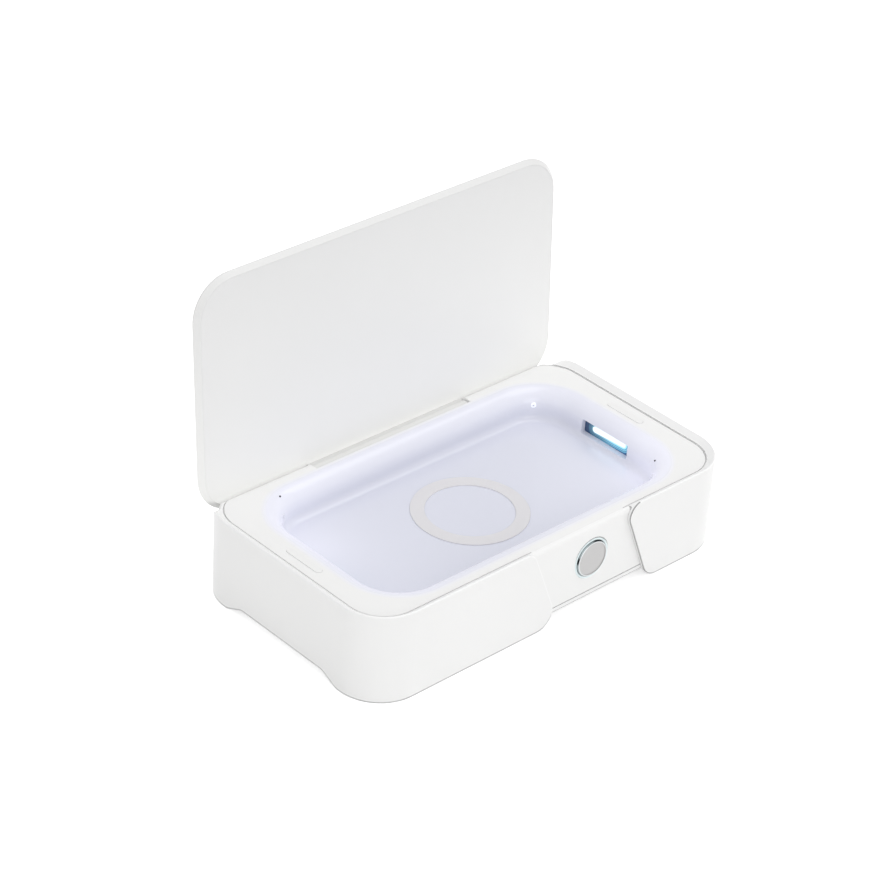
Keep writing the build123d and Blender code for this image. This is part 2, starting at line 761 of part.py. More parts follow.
with BuildPart() as lamp_driver_board:
    with BuildSketch(board_view):
        with Locations((driver_x, driver_y)):
            RectangleRounded(driver_length, driver_breadth, board_corner)
    extrude(amount=board_thickness)
    holes = discs(board_view, driver_points, small_shank + slip)
    extrude(holes, amount=board_thickness, mode=Mode.SUBTRACT)
    with BuildSketch(parts_view):
        with Locations((driver_x + transformer_x, driver_y)):
            Rectangle(transformer_length, transformer_breadth)
    extrude(amount=transformer_height)
    with BuildSketch(parts_view):
        with Locations((driver_x + driver_plug_x, driver_y)):
            Rectangle(plug_width, plug_length)
    extrude(amount=plug_height)
keep("lamp_driver_board", lamp_driver_board)

board_screws = screws(
    parts_view,
    board_screw_points,
    -1,
    small_shank,
    small_length,
    small_head,
    small_head_height,
)
keep("board_screws", board_screws)

# ---- Power button in its light ring, with the switch behind it ----

with BuildPart() as light_ring:
    front = housing_depth / 2 + ring_proud
    extrude(
        annulus(button_view.offset(front), ring_outside, ring_outside - ring_wall),
        amount=-(front - skirt_end - ring_back),
    )
    extrude(
        annulus(button_view.offset(wall_inside), ring_outside + ring_flange, ring_outside - ring_wall),
        amount=-ring_wall,
    )
    fillet(light_ring.edges().group_by(Axis.Y)[0].sort_by(SortBy.LENGTH)[-1], ring_proud / 2)
keep("light_ring", light_ring)

with BuildPart() as button_cap:
    crown = button_view.offset(housing_depth / 2 + button_proud)
    extrude(discs(crown, [(0, 0)], button_radius), amount=skirt_end - housing_depth / 2 - button_proud)
    chamfer(button_cap.edges().group_by(Axis.Y)[0], button_bevel)
    extrude(discs(crown, [(0, 0)], dish_radius), amount=-dish_depth, mode=Mode.SUBTRACT)
    skirt = button_view.offset(skirt_end)
    extrude(discs(skirt, [(0, 0)], button_radius + flange_lap), amount=-cap_flange)
    extrude(discs(skirt, [(0, 0)], stem_radius), amount=-cap_flange - stem_length)
keep("button_cap", button_cap)

with BuildPart() as switch_plunger:
    extrude(discs(button_view.offset(stem_end), [(0, 0)], plunger_radius), amount=-plunger_length)
keep("switch_plunger", switch_plunger)

with BuildPart() as tact_switch:
    with BuildSketch(button_view.offset(switch_face)):
        Rectangle(switch_side, switch_side)
    extrude(amount=-switch_depth)
    bore = plunger_length - plunger_out + button_travel + slip
    extrude(
        discs(button_view.offset(switch_face), [(0, 0)], plunger_radius + ring_slip),
        amount=-bore,
        mode=Mode.SUBTRACT,
    )
keep("tact_switch", tact_switch)

with BuildPart() as switch_board:
    with BuildSketch(button_view.offset(switch_seat)):
        RectangleRounded(switch_board_x, switch_board_z, board_corner)
        with Locations(*post_points):
            Circle(small_shank + slip, mode=Mode.SUBTRACT)
    extrude(amount=-switch_board_thickness)
    with BuildSketch(button_view.offset(switch_seat)):
        with Locations(*four(led_pitch, led_pitch)):
            Rectangle(led_side, led_side)
    extrude(amount=led_height)
keep("switch_board", switch_board)

switch_screws = screws(
    button_view.offset(switch_seat - switch_board_thickness),
    post_points,
    1,
    small_shank,
    small_length,
    small_head,
    small_head_height,
)
keep("switch_screws", switch_screws)

# ---- Lid: a thin cover with its hinge knuckle, closed inside by a liner ----


def lid_panel(inset, lift):
    """The lid's outline, pulled in by an inset, at a height over the hinge axis."""
    with BuildSketch(lid_plane.offset(lift)) as outline:
        with Locations((0, lid_middle)):
            RectangleRounded(lid_length - 2 * inset, lid_depth - 2 * inset, lid_corner - inset)
    return outline.sketch


lid_top = lid_lift + lid_thickness
cavity = lid_thickness - liner_thickness - lid_skin
with BuildPart() as lid_cover:
    extrude(lid_panel(0, lid_lift), amount=lid_thickness)
    layers = lid_cover.edges().sort_by(
        lambda e: (e.center() - lid_plane.origin).dot(lid_plane.z_dir)
    )
    fillet(layers[-8:], lid_edge_round)
    chamfer(layers[:8], lid_bevel)
    extrude(lid_panel(lid_border, lid_lift), amount=liner_thickness, mode=Mode.SUBTRACT)
    extrude(
        lid_panel(lid_border + liner_seat, lid_lift + liner_thickness),
        amount=cavity,
        mode=Mode.SUBTRACT,
    )
    # stiffening ribs that meet the liner's back
    with BuildSketch(lid_plane.offset(lid_lift + liner_thickness)):
        with Locations((0, lid_middle)):
            with GridLocations(lid_length / 4, 0, 3, 1):
                Rectangle(rib_width, lid_depth - 2 * lid_border - liner_seat)
            with GridLocations(0, lid_depth / 3, 1, 2):
                Rectangle(lid_length - 2 * lid_border - liner_seat, rib_width)
    extrude(amount=cavity)
    # the knuckle and its neck
    with BuildSketch(lid_view):
        Circle(knuckle_radius)
        Rectangle(2 * knuckle_neck, lid_top - lid_skin, align=(Align.CENTER, Align.MIN))
    extrude(amount=half_knuckle, both=True)
    with BuildSketch(lid_view):
        Circle(pin_radius + pin_slip)
    extrude(amount=half_knuckle, both=True, mode=Mode.SUBTRACT)
keep("lid_cover", lid_cover)

with BuildPart() as lid_liner:
    extrude(lid_panel(lid_border + liner_slip, lid_lift), amount=liner_thickness)
    with BuildSketch(lid_view):
        with Locations((-knuckle_neck - liner_slip, 0)):
            Rectangle(2 * roll, 2 * lid_top, align=(Align.MIN, Align.MIN))
    extrude(amount=half_knuckle + liner_slip, both=True, mode=Mode.SUBTRACT)
keep("lid_liner", lid_liner)

with BuildPart() as lid_magnet:
    magnet_seat = lid_plane.offset(lid_lift + liner_thickness)
    extrude(
        discs(magnet_seat, [(magnet_in - width / 2, tray_y - hinge_y)], magnet_radius),
        amount=magnet_thickness,
    )
keep("lid_magnet", lid_magnet)

with BuildPart() as lid_sensor:
    with BuildSketch(ground.offset(ledge_under)):
        with Locations((sensor_in - width / 2, tray_y)):
            Rectangle(sensor_width, sensor_length)
    extrude(amount=-sensor_height)
keep("lid_sensor", lid_sensor)

with BuildPart() as hinge_pin:
    with BuildSketch(hinge_view):
        Circle(pin_radius)
    extrude(amount=half_knuckle + hinge_gap + ear, both=True)
    chamfer(hinge_pin.edges().filter_by(GeomType.CIRCLE), pin_bevel)
keep("hinge_pin", hinge_pin)

# ---- Case screws and rubber feet at the corners ----

head_seat = ground.offset(foot_height + head_height)
case_screws = screws(head_seat, screw_points, 1, shank, shank_length, head_radius, head_height)
keep("case_screws", case_screws)

with BuildPart() as rubber_feet:
    extrude(discs(ground, screw_points, foot_radius), amount=foot_height)
    chamfer(rubber_feet.edges().group_by(Axis.Z)[0], foot_taper)
keep("rubber_feet", rubber_feet)

# ---- Writing: one file for each piece ----

os.makedirs("parts", exist_ok=True)
for name, piece in parts.items():
    export_step(piece, f"parts/{name}.step")
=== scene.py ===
from math import cos, pi, radians, sin

import bmesh
import bpy
import numpy as np
from mathutils import Matrix, Vector


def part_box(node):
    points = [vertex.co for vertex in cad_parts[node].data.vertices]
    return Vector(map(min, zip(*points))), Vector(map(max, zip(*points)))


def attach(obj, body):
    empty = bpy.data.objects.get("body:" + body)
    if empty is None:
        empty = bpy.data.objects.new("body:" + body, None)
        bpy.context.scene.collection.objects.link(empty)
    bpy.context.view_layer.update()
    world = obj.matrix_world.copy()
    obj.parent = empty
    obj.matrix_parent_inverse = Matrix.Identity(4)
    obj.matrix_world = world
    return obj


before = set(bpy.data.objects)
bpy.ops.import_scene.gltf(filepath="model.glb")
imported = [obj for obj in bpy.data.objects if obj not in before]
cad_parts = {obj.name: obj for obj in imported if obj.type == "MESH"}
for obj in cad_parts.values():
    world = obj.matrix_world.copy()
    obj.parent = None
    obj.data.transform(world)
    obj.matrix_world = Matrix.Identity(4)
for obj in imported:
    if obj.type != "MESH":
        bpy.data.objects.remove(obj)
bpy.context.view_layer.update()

# ---- Bottom cover, screws and feet ----
# The floor of the case is a moulded ABS pan that slips inside the housing's wall. Four screws
# go up through the corner webs, and a rubber foot is glued over each screw head.

SATIN_WHITE = (0.885, 0.885, 0.880, 1)
SATIN_ROUGHNESS = 0.38
CLOUD_CELLS = 24.0        # slow drift of a moulding's colour, in cells a metre
CLOUD_DRIFT = 0.012
SMEAR_CELLS = 95.0        # uneven polish, in cells a metre, and how far the roughness varies
SMEAR = 0.10
FINE_GRAIN = 2600.0       # spark-eroded mould grain, in cells a metre, and its depth
GRAIN_DEPTH = 0.00001
EDGE_RADIUS = 0.0011      # how far from an edge its painted shade and highlight lines reach
# cosines of the lean where the painted highlight starts and where it is full, then the drop in Z
# where the painted shade starts and where it is full
EDGE_HIGHLIGHT_LEAN = (0.995, 0.92)
EDGE_SHADED = (-0.06, -0.32)
EDGE_SHADE = (0.15, 0.15, 0.15, 1)
EDGE_PAINTED_HIGHLIGHT = (0.98, 0.98, 0.98, 1)
STEEL = (0.56, 0.57, 0.58, 1)
STEEL_ROUGHNESS = (0.18, 0.43)
TURNED_LINES = 2600.0
FOOT_BLACK = (0.035, 0.035, 0.037, 1)
FOOT_GRAIN = 1400.0
FOOT_DEPTH = 0.00003


def node(tree, kind, **values):
    """Adds one shader node; each value sets a property or the input of that name."""
    made = tree.nodes.new("ShaderNode" + kind)
    for name, value in values.items():
        if hasattr(made, name):
            setattr(made, name, value)
        else:
            made.inputs[name.replace("_", " ")].default_value = value
    return made


def feed(tree, value, socket):
    """Links an output socket to an input, or sets the input to a number or colour."""
    if isinstance(value, bpy.types.NodeSocket):
        tree.links.new(value, socket)
    else:
        socket.default_value = value


def maths(tree, operation, *terms):
    """One Math node on sockets or numbers."""
    made = node(tree, "Math", operation=operation)
    for place, term in enumerate(terms):
        feed(tree, term, made.inputs[place])
    return made.outputs[0]


def spread(tree, share, low, high):
    """The low number at a share of zero and the high one at one."""
    return maths(tree, "MULTIPLY_ADD", share, high - low, low)


def mix(tree, share, first, second):
    """The first colour at a share of zero and the second at one, blended between."""
    made = node(tree, "Mix", data_type="RGBA")
    for place, value in ((0, share), (6, first), (7, second)):
        feed(tree, value, made.inputs[place])
    return made.outputs[2]


def scaled(tree, colour, factor):
    """A colour times a number."""
    made = node(tree, "VectorMath", operation="SCALE")
    feed(tree, colour, made.inputs[0])
    feed(tree, factor, made.inputs["Scale"])
    return made.outputs[0]


def slope(tree, value, start, end, kind="LINEAR"):
    """Zero up to the start, one past the end and a straight slope between."""
    made = node(tree, "MapRange", interpolation_type=kind)
    made.inputs["From Min"].default_value = start
    made.inputs["From Max"].default_value = end
    feed(tree, value, made.inputs["Value"])
    return made.outputs["Result"]


def smooth_step(tree, value, start, end):
    """Zero up to the start, one past the end and a smooth step between."""
    return slope(tree, value, start, end, "SMOOTHSTEP")


def axes_of(tree, vector):
    """The X, Y and Z of a vector."""
    made = node(tree, "SeparateXYZ")
    feed(tree, vector, made.inputs["Vector"])
    return made.outputs


def object_place(tree):
    """The place on the surface, in the object's own metres."""
    return node(tree, "TexCoord").outputs["Object"]


def noise(tree, place, cells, detail, blend=0.5):
    """Soft noise from zero to one, with so many cells a metre."""
    made = node(tree, "TexNoise", Detail=detail, Roughness=blend)
    feed(tree, place, made.inputs["Vector"])
    feed(tree, cells, made.inputs["Scale"])
    return made.outputs["Fac"]


def stretched(tree, place, scale):
    """A place with its axes scaled, which draws noise out into lines."""
    made = node(tree, "Mapping", Scale=scale)
    feed(tree, place, made.inputs["Vector"])
    return made.outputs[0]


def group(name, inputs, outputs):
    """An empty node group with float or colour inputs and outputs; gives tree, in and out."""
    tree = bpy.data.node_groups.new(name, "ShaderNodeTree")
    for label, kind in inputs.items():
        tree.interface.new_socket(label, in_out="INPUT", socket_type="NodeSocket" + kind)
    for label, kind in outputs.items():
        tree.interface.new_socket(label, in_out="OUTPUT", socket_type="NodeSocket" + kind)
    return tree, tree.nodes.new("NodeGroupInput"), tree.nodes.new("NodeGroupOutput")


def moulded_skin():
    """Moulded plastic or rubber. The colour is scaled by one plus the drift times a slow
    noise, the roughness is shifted by a middle one, and fine cells give the grain's height."""
    tree, given, result = group(
        "moulded_skin",
        {"Colour": "Color", "Drift": "Float", "Roughness": "Float", "Grain Size": "Float"},
        {"Colour": "Color", "Roughness": "Float", "Height": "Float"},
    )
    place = object_place(tree)
    cloud = spread(tree, noise(tree, place, CLOUD_CELLS, 3.0), -1.0, 1.0)
    tone = maths(tree, "MULTIPLY_ADD", cloud, given.outputs["Drift"], 1.0)
    feed(tree, scaled(tree, given.outputs["Colour"], tone), result.inputs["Colour"])
    smear = noise(tree, place, SMEAR_CELLS, 5.0, 0.62)
    polish = spread(tree, smear, -SMEAR / 2, SMEAR / 2)
    polish = maths(tree, "ADD", polish, given.outputs["Roughness"])
    feed(tree, polish, result.inputs["Roughness"])
    grain = noise(tree, place, given.outputs["Grain Size"], 2.0, 0.6)
    feed(tree, grain, result.inputs["Height"])
    return tree


def edge_lines():
    """Painted shade and highlight on the edges of a satin part. A rounded normal, taken over a
    small radius, leans away from the face near an edge. Where its Z is under zero and under the
    face's own, the edge lies in its own shade, which is painted in; where it leans any other way,
    the edge gets a painted highlight."""
    tree, given, result = group(
        "edge_lines",
        {"Colour": "Color", "Shade": "Color", "Bright": "Color"},
        {"Colour": "Color"},
    )
    rounded = node(tree, "Bevel", samples=6, Radius=EDGE_RADIUS).outputs[0]
    face = node(tree, "NewGeometry").outputs["Normal"]
    lean = node(tree, "VectorMath", operation="DOT_PRODUCT")
    feed(tree, rounded, lean.inputs[0])
    feed(tree, face, lean.inputs[1])
    level = axes_of(tree, rounded)["Z"]
    drop = maths(tree, "SUBTRACT", level, axes_of(tree, face)["Z"])
    drop = maths(tree, "MAXIMUM", drop, level)
    bright = smooth_step(tree, lean.outputs["Value"], *EDGE_HIGHLIGHT_LEAN)
    shade = smooth_step(tree, drop, *EDGE_SHADED)
    highlighted = mix(tree, bright, given.outputs["Colour"], given.outputs["Bright"])
    lined = mix(tree, shade, highlighted, given.outputs["Shade"])
    feed(tree, lined, result.inputs["Colour"])
    return tree


skin = moulded_skin()
edges = edge_lines()


def material(name, **settings):
    """A new material; the settings go on its Principled shader. Gives material, tree, shader."""
    made = bpy.data.materials.new(name)
    made.use_nodes = True
    shader = made.node_tree.nodes["Principled BSDF"]
    for label, value in settings.items():
        shader.inputs[label.replace("_", " ")].default_value = value
    return made, made.node_tree, shader


def moulded(
    name, colour, roughness, drift=CLOUD_DRIFT, grain=FINE_GRAIN, depth=GRAIN_DEPTH,
    relief=0.5, **settings
):
    """Moulded plastic or rubber: the skin group, a node named skin, feeds colour, roughness
    and a fine bump."""
    made, tree, shader = material(name, **settings)
    face = node(tree, "Group", node_tree=skin, Colour=colour, Drift=drift, Roughness=roughness)
    face.name = "skin"
    face.inputs["Grain Size"].default_value = grain
    bump = node(tree, "Bump", Strength=relief, Distance=depth)
    feed(tree, face.outputs["Height"], bump.inputs["Height"])
    feed(tree, face.outputs["Colour"], shader.inputs["Base Color"])
    feed(tree, face.outputs["Roughness"], shader.inputs["Roughness"])
    feed(tree, bump.outputs["Normal"], shader.inputs["Normal"])
    return made


def recolour(made, colour):
    """Feeds another colour into a moulded material's skin."""
    feed(made.node_tree, colour, made.node_tree.nodes["skin"].inputs["Colour"])


def edged_white(name):
    """Satin white whose edges carry the painted shade and highlight lines, from a node named edges.
    """
    made = moulded(name, SATIN_WHITE, SATIN_ROUGHNESS)
    lines = node(
        made.node_tree, "Group", node_tree=edges,
        Colour=SATIN_WHITE, Shade=EDGE_SHADE, Bright=EDGE_PAINTED_HIGHLIGHT,
    )
    lines.name = "edges"
    recolour(made, lines.outputs["Colour"])
    return made


def turned_steel():
    """Plated steel: noise drawn out along Z into fine lines varies the roughness."""
    made, tree, shader = material("turned_steel", Base_Color=STEEL, Metallic=1.0)
    place = stretched(tree, object_place(tree), (1.0, 1.0, 0.1))
    lines = noise(tree, place, TURNED_LINES, 3.0)
    feed(tree, spread(tree, lines, *STEEL_ROUGHNESS), shader.inputs["Roughness"])
    return made


def finish_nodes(made, *names):
    """Puts a material on CAD nodes, in place of the one they came with."""
    for name in names:
        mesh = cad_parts[name].data
        mesh.materials.clear()
        mesh.materials.append(made)


# The cover's edges carry the painted highlight and shade lines of edged_white.
finish_nodes(edged_white("cover_white"), "bottom_cover")
steel = turned_steel()
finish_nodes(steel, "case_screws", "board_screws", "switch_screws", "hinge_pin", "power_socket")
foot_rubber = moulded("foot_rubber", FOOT_BLACK, roughness=0.72, grain=FOOT_GRAIN, depth=FOOT_DEPTH)
finish_nodes(foot_rubber, "rubber_feet")

# ---- Housing ----
# The moulded ABS outer wall carries everything: a ledge for the tray, the trough for the lid's
# knuckle and posts behind the front wall. Its edges carry painted highlight and shade lines.

finish_nodes(edged_white("housing_white"), "housing")

# ---- Tray ----
# A moulded tub in high-gloss white whose soft flare turns into a satin rim, hung by that rim in the
# housing. The lamps' violet wash on its ends is painted light, its walls pale towards the rim by
# painted light, and the tub's white is painted darker and violet for its shade and the lamps'
# light.

# the tub's white, painted darker and violet for its shade and the lamps' light
TUB_WHITE = (0.690, 0.703, 0.790, 1)
TUB_ROUGHNESS = 0.15
TUB_DRIFT = 0.008
TUB_GRAIN = 420.0
FADE = 0.0022             # half width over which the rim's white turns into the tub's
GLOSS_EDGE = 0.0010
# painted light that pales the tub's walls from the floor up to the rim
WALL_LIGHT = (0.094, 0.089, 0.086)
VIOLET = (0.87, 0.84, 0.96)
WASHES = (                # painted pools of the lamps' light: a spot from the tub's middle, its level, its reach and its strength
    (-0.0802, -0.0408, 0.037, 0.022, 0.07),
    (-0.0802, 0.0408, 0.037, 0.018, 0.03),
    (0.0802, -0.0408, 0.037, 0.018, 0.07),
    (0.0802, 0.0408, 0.037, 0.018, 0.03),
    (-0.0800, 0.0200, 0.029, 0.020, 0.15),
    (0.0885, -0.0295, 0.031, 0.012, 0.15),
    (0.0600, -0.0200, 0.029, 0.030, 0.03),
)
TUB_HALF = (0.0980, 0.05325)   # half size of the flare's outer edge, and its corner
TUB_CORNER = 0.0290
TUB_FLOOR = 0.0290
RIM_LEVEL = 0.0445
ring_low, ring_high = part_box("charge_ring")
tub_middle = (ring_low + ring_high) / 2


def distance(tree, place, point):
    """The distance from a place on the surface to a point."""
    made = node(tree, "VectorMath", operation="DISTANCE")
    feed(tree, place, made.inputs[0])
    feed(tree, point, made.inputs[1])
    return made.outputs["Value"]


def glow_at(tree, place, point, reach):
    """Light that falls off round a point: one over one plus the squared distance over the
    reach squared."""
    far = maths(tree, "DIVIDE", distance(tree, place, point), reach)
    return maths(tree, "DIVIDE", 1.0, maths(tree, "MULTIPLY_ADD", far, far, 1.0))


def past_flare(tree, axes):
    """Signed distance from the flare's outer edge, seen from above: the length of what lies
    past the corner circles' middles, less the corner radius."""
    over = node(tree, "CombineXYZ")
    for axis, middle, half in zip("XY", (0.0, tub_middle.y), TUB_HALF):
        off = maths(tree, "ABSOLUTE", maths(tree, "SUBTRACT", axes[axis], middle))
        side = maths(tree, "MAXIMUM", maths(tree, "SUBTRACT", off, half - TUB_CORNER), 0.0)
        feed(tree, side, over.inputs[axis])
    length = node(tree, "VectorMath", operation="LENGTH")
    feed(tree, over.outputs[0], length.inputs[0])
    return maths(tree, "SUBTRACT", length.outputs["Value"], TUB_CORNER)


def lit_tray():
    """Satin on the rim and glossy white in the tub, blended at the flare's outer edge; the tub's
    white is painted darker and faintly violet, for its shade and the lamps' light. The lamps' wash
    is painted light, emission inside that edge: the sum of the spots' glows in violet, and a pale
    light that grows from the floor up to the rim."""
    made = moulded(
        "lit_tray", SATIN_WHITE, SATIN_ROUGHNESS, drift=TUB_DRIFT, grain=TUB_GRAIN,
        relief=0.25, Emission_Strength=1.0, IOR=1.49,
    )
    tree = made.node_tree
    place = object_place(tree)
    axes = axes_of(tree, place)
    past = past_flare(tree, axes)
    inside = smooth_step(tree, past, FADE, -FADE)
    wash = 0.0
    for along, across, level, reach, strength in WASHES:
        spot = (along, tub_middle.y + across, level)
        wash = maths(tree, "MULTIPLY_ADD", glow_at(tree, place, spot, reach), strength, wash)
    both = node(tree, "VectorMath", operation="ADD")
    feed(tree, scaled(tree, VIOLET, wash), both.inputs[0])
    climb = smooth_step(tree, axes["Z"], TUB_FLOOR, RIM_LEVEL)
    feed(tree, scaled(tree, WALL_LIGHT, climb), both.inputs[1])
    shader = tree.nodes["Principled BSDF"]
    feed(tree, scaled(tree, both.outputs[0], inside), shader.inputs["Emission Color"])
    recolour(made, mix(tree, inside, SATIN_WHITE, TUB_WHITE))
    gloss = smooth_step(tree, past, 0.0, -GLOSS_EDGE)
    rough = spread(tree, gloss, SATIN_ROUGHNESS, TUB_ROUGHNESS)
    feed(tree, rough, tree.nodes["skin"].inputs["Roughness"])
    return made


finish_nodes(lit_tray(), "tray")

# ---- Corner lamps ----
# Four small diodes are pushed through the tray's wall from behind, one at each corner. Each has a
# moulded clear nose, and only the one at the far right is seen end on; it carries a painted
# reflection, a light ring round a grey middle.

LAMP_PLACE = (0.0802, 0.0410, 0.0372)   # the far right lamp, from the tub's middle and its level
LENS_PALE = (0.80, 0.81, 0.89, 1)
# the far right lamp's painted reflection: a grey middle and a light ring round it
LENS_GREY = (0.494, 0.486, 0.548, 1)
LENS_GREY_SPAN = (0.000537, 0.0003)   # from the lens's middle
LENS_PAINTED_RING = (0.34, 0.36, 0.38)
LENS_RING_SPAN = (0.000537, 0.0008)


def violet_lens():
    """A clear nose over a diode. The far right lamp carries a painted reflection: it is grey in its
    middle and glows at its edge, each by a straight slope over the distance from the middle. The
    other three stay as pale as the wall."""
    made, tree, shader = material("violet_lens", Roughness=0.12, Emission_Strength=1.0)
    place = object_place(tree)
    axes = axes_of(tree, place)
    right = maths(tree, "GREATER_THAN", axes["X"], 0.0)
    back = maths(tree, "GREATER_THAN", axes["Y"], tub_middle.y)
    far_right = maths(tree, "MULTIPLY", right, back)
    along, across, level = LAMP_PLACE
    gap = distance(tree, place, (along, tub_middle.y + across, level))
    grey = maths(tree, "MULTIPLY", far_right, slope(tree, gap, *LENS_GREY_SPAN))
    glow = maths(tree, "MULTIPLY", far_right, slope(tree, gap, *LENS_RING_SPAN))
    feed(tree, mix(tree, grey, LENS_PALE, LENS_GREY), shader.inputs["Base Color"])
    feed(tree, scaled(tree, LENS_PAINTED_RING, glow), shader.inputs["Emission Color"])
    return made


finish_nodes(violet_lens(), "corner_lamps")

# ---- Dark domes on the flare ----
# Two tiny dark glossy domes stand on the flare, at the front right and the back left, each sunk
# half into it, square to the flare's surface.

DOME_RADIUS = 0.0005
DOME_STEPS = 16         # sides of a dome, and its rings from pole to pole
DOME_RINGS = 11
DOME_BLACK = (0.02, 0.02, 0.03, 1)
FLARE = 0.009
corner_x, corner_y = TUB_HALF[0] - TUB_CORNER, TUB_HALF[1] - TUB_CORNER
DOME_SPOTS = (          # the corner circle's middle, the direction from it, the flare's turn
    ((corner_x, tub_middle.y - corner_y, 0), radians(-30.2), radians(55.0)),
    ((-corner_x, tub_middle.y + corner_y, 0), radians(109.3), radians(27.7)),
)


def sunk_domes(name):
    """Balls sunk half into the flare. A ball's points are its foot plus the radius times the
    rim's direction by the rise's cosine and the normal by its sine. The foot lies on the
    flare's quarter circle at its turn, and the normal runs from that circle's middle to it."""
    turns = np.arange(DOME_STEPS) * 2 * pi / DOME_STEPS
    turn, rise = np.meshgrid(turns, np.linspace(-pi / 2, pi / 2, DOME_RINGS))
    ball = np.stack((np.cos(turn) * np.cos(rise), np.sin(turn) * np.cos(rise), np.sin(rise)), -1)
    places = []
    for middle, heading, climb in DOME_SPOTS:
        out = Vector((cos(heading), sin(heading), 0))
        normal = out * -sin(climb) + Vector((0, 0, cos(climb)))
        foot = Vector(middle) + out * (TUB_CORNER - FLARE * sin(climb))
        foot.z = RIM_LEVEL - FLARE + FLARE * cos(climb)
        across = normal.orthogonal().normalized()
        axes = np.array((across, normal.cross(across), normal))
        places.append(np.array(foot) + DOME_RADIUS * (ball @ axes))
    row = np.arange(DOME_RINGS - 1)[:, None] * DOME_STEPS
    start = row + np.arange(DOME_STEPS)
    beside = row + (np.arange(DOME_STEPS) + 1) % DOME_STEPS
    quads = np.stack((start, beside, beside + DOME_STEPS, start + DOME_STEPS), -1)
    quads = quads.reshape(-1, 4)
    faces = np.concatenate([quads + turn.size * head for head in range(len(places))])
    mesh = bpy.data.meshes.new(name)
    mesh.from_pydata(np.concatenate(places).reshape(-1, 3).tolist(), [], faces.tolist())
    welded = bmesh.new()
    welded.from_mesh(mesh)
    bmesh.ops.remove_doubles(welded, verts=welded.verts, dist=1e-6)
    welded.to_mesh(mesh)
    welded.free()
    mesh.shade_smooth()
    piece = bpy.data.objects.new(name, mesh)
    bpy.context.scene.collection.objects.link(piece)
    return piece


domes = sunk_domes("flare_domes")
dome_black, _, _ = material("dome_black", Base_Color=DOME_BLACK, Roughness=0.12)
domes.data.materials.append(dome_black)
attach(domes, "base")

# ---- End lamps ----
# At each end a thin UV tube with metal caps lies in a polished trough, behind a quartz pane that
# sits in a step of the tray's window. The lit tube's light is painted: its image on the pane as a
# white bar with cyan round it, and its light on the trough as cyan emission.

NIGHT_BLUE = (0.010, 0.030, 0.095, 1)
TUBE_CYAN = (0.22, 0.66, 0.86, 1)
TROUGH_SPAN = (0.012, -0.010)   # the trough's painted light grows from back to front
TROUGH_RIPPLE = 420.0
PANE_BLUE = (0.05, 0.10, 0.20, 1)
TUBE_GLASS = (0.10, 0.22, 0.28, 1)
TUBE_LIGHT = (0.40, 0.80, 0.95, 1)
CAP_DARK = (0.04, 0.05, 0.07, 1)
GLOW_LEVEL = 0.0353       # the tube's painted image in the pane: a bar a little above the middle
GLOW_SLANT = -0.055
GLOW_MIDDLE = -0.0010
GLOW_HALF = 0.0096
GLOW_CORE = (0.0020, 0.0016)
GLOW_FADE = (0.0110, -0.0060)   # round the bar the painted glow grows from back to front
GLOW_LEAST = 0.3
GLOW_TONES = (            # painted tones of the tube's image: distance from the bar's middle line in centimetres, and colour
    (0.150, (0.95, 1.00, 0.99, 1)),
    (0.175, (0.45, 0.85, 0.93, 1)),
    (0.240, (0.28, 0.66, 0.80, 1)),
    (0.280, (0.03, 0.16, 0.27, 1)),
    (0.315, (0.30, 0.66, 0.76, 1)),
    (0.355, (0.02, 0.12, 0.22, 1)),
    (0.400, (0.16, 0.46, 0.60, 1)),
    (0.450, (0.01, 0.06, 0.14, 1)),
    (0.600, (0.00, 0.01, 0.05, 1)),
)


def trough_glow():
    """A dark blue trough with the tube's light painted on it. Half the product of a smooth step
    along Y and a fine noise blends its emission from dark blue to the tube's cyan."""
    made, tree, shader = material(
        "polished_trough", Base_Color=NIGHT_BLUE, Roughness=0.15, Emission_Strength=1.0
    )
    place = object_place(tree)
    start, end = (tub_middle.y + off for off in TROUGH_SPAN)
    along = smooth_step(tree, axes_of(tree, place)["Y"], start, end)
    share = maths(tree, "MULTIPLY", along, noise(tree, place, TROUGH_RIPPLE, 2.0))
    light = mix(tree, maths(tree, "MULTIPLY", share, 0.5), NIGHT_BLUE, TUBE_CYAN)
    feed(tree, light, shader.inputs["Emission Color"])
    return made


